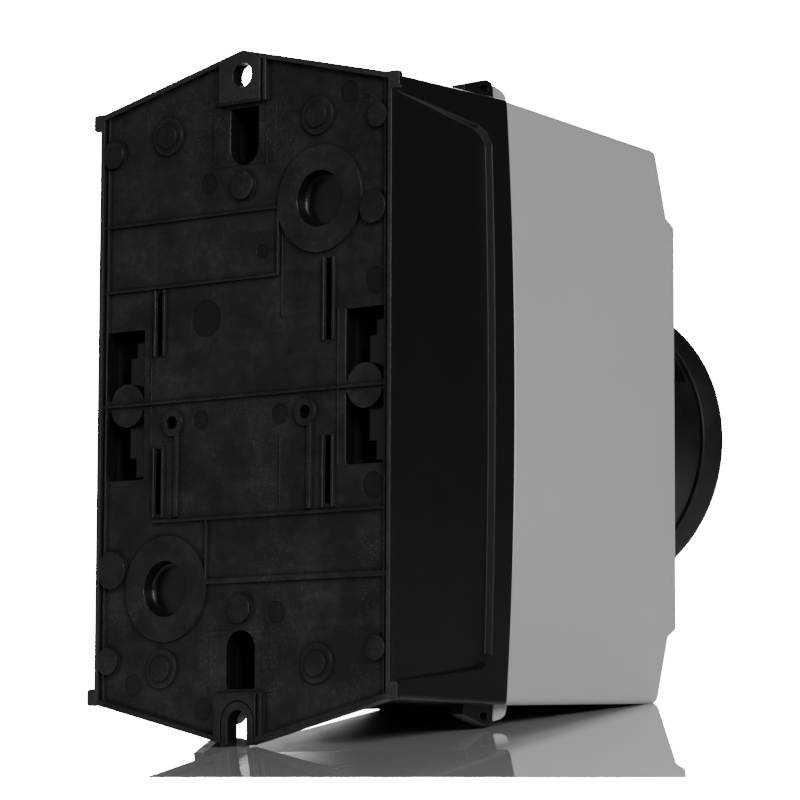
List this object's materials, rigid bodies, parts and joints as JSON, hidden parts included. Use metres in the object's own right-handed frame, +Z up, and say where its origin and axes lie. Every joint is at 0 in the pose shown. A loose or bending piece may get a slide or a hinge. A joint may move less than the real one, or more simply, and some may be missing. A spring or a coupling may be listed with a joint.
{
  "type": "isolator switch",
  "caption": "Enclosed rotary isolator switch: ribbed black base with pointed ends, light grey cover with bevelled ends, round black collar and dial, turning grip with padlock tongue",
  "frame": {"origin": "centre of the rear face, in the plane that rests on the wall, midway between the two wall fixings", "axes": "+X across the enclosure to the right as seen from the front, +Y out of the rear face into the wall, +Z up along the height; the front with the handle faces -Y"},
  "size_m": [0.106, 0.1836, 0.1846],
  "materials": {
    "black_plastic": "fine moulded texture, satin",
    "grey_plastic": "fine spark-eroded texture",
    "seal_rubber": "soft black foam rubber",
    "zinc_steel": "bright zinc plate",
    "spring_steel": "bare spring steel",
    "contact_copper": "bare copper alloy",
    "terminal_brass": "machined brass",
    "deck_plastic": "glass-filled moulding",
    "cream_plastic": "natural acetal"
  },
  "bodies": {
    "enclosure": {"base_housing": "black_plastic", "cover": "grey_plastic", "cover_gasket": "seal_rubber", "cover_screws": "zinc_steel", "handle_collar": "black_plastic", "dial_ring": "black_plastic", "lock_posts": "black_plastic", "collar_screws": "zinc_steel", "shaft_seal": "seal_rubber", "switch_foot": "deck_plastic", "foot_screws": "zinc_steel", "contact_deck_1": "deck_plastic", "contact_deck_2": "deck_plastic", "latch_housing": "deck_plastic", "front_plate": "zinc_steel", "tie_bolts": "zinc_steel", "detent_springs": "spring_steel", "contact_springs": "spring_steel", "fixed_contacts": "contact_copper", "terminal_clamps": "zinc_steel", "terminal_screws": "zinc_steel", "earth_terminal": "terminal_brass", "neutral_terminal": "terminal_brass", "bar_screws": "zinc_steel"},
    "rotor": {"rotary_handle": "black_plastic", "handle_screw": "zinc_steel", "handle_cap": "black_plastic", "extension_shaft": "zinc_steel", "shaft_coupler": "deck_plastic", "coupler_screws": "zinc_steel", "switch_shaft": "zinc_steel", "cam_1": "cream_plastic", "cam_2": "cream_plastic", "detent_wheel": "cream_plastic", "stop_disc": "cream_plastic"},
    "padlock_tongue": {"padlock_slide": "zinc_steel"},
    "moving_contact_1_left": {"carrier_1_left": "cream_plastic", "bridge_1_left": "contact_copper"},
    "moving_contact_1_right": {"carrier_1_right": "cream_plastic", "bridge_1_right": "contact_copper"},
    "moving_contact_2_left": {"carrier_2_left": "cream_plastic", "bridge_2_left": "contact_copper"},
    "moving_contact_2_right": {"carrier_2_right": "cream_plastic", "bridge_2_right": "contact_copper"}
  },
  "joints": [
    {"name": "handle_turn", "type": "hinge", "parent": "enclosure", "child": "rotor", "pos_m": [0, -0.15, 0], "axis": [0, 1, 0], "range_deg": [0, 90], "deforming": ["detent_springs", "contact_springs"]},
    {"name": "padlock_pull", "type": "slide", "parent": "rotor", "child": "padlock_tongue", "axis": [-1, 0, 0], "range_m": [0, 0.007]},
    {"name": "contact_1_left_slide", "type": "slide", "parent": "enclosure", "child": "moving_contact_1_left", "axis": [1, 0, 0], "range_m": [0, 0.0026]},
    {"name": "contact_1_right_slide", "type": "slide", "parent": "enclosure", "child": "moving_contact_1_right", "axis": [-1, 0, 0], "range_m": [0, 0.0026]},
    {"name": "contact_2_left_slide", "type": "slide", "parent": "enclosure", "child": "moving_contact_2_left", "axis": [1, 0, 0], "range_m": [0, 0.0026]},
    {"name": "contact_2_right_slide", "type": "slide", "parent": "enclosure", "child": "moving_contact_2_right", "axis": [-1, 0, 0], "range_m": [0, 0.0026]}
  ],
  "couplings": [
    {"joint": "contact_1_left_slide", "follows": "handle_turn", "m_per_rad": 0.0016552},
    {"joint": "contact_1_right_slide", "follows": "handle_turn", "m_per_rad": 0.0016552},
    {"joint": "contact_2_left_slide", "follows": "handle_turn", "m_per_rad": 0.0016552},
    {"joint": "contact_2_right_slide", "follows": "handle_turn", "m_per_rad": 0.0016552}
  ]
}
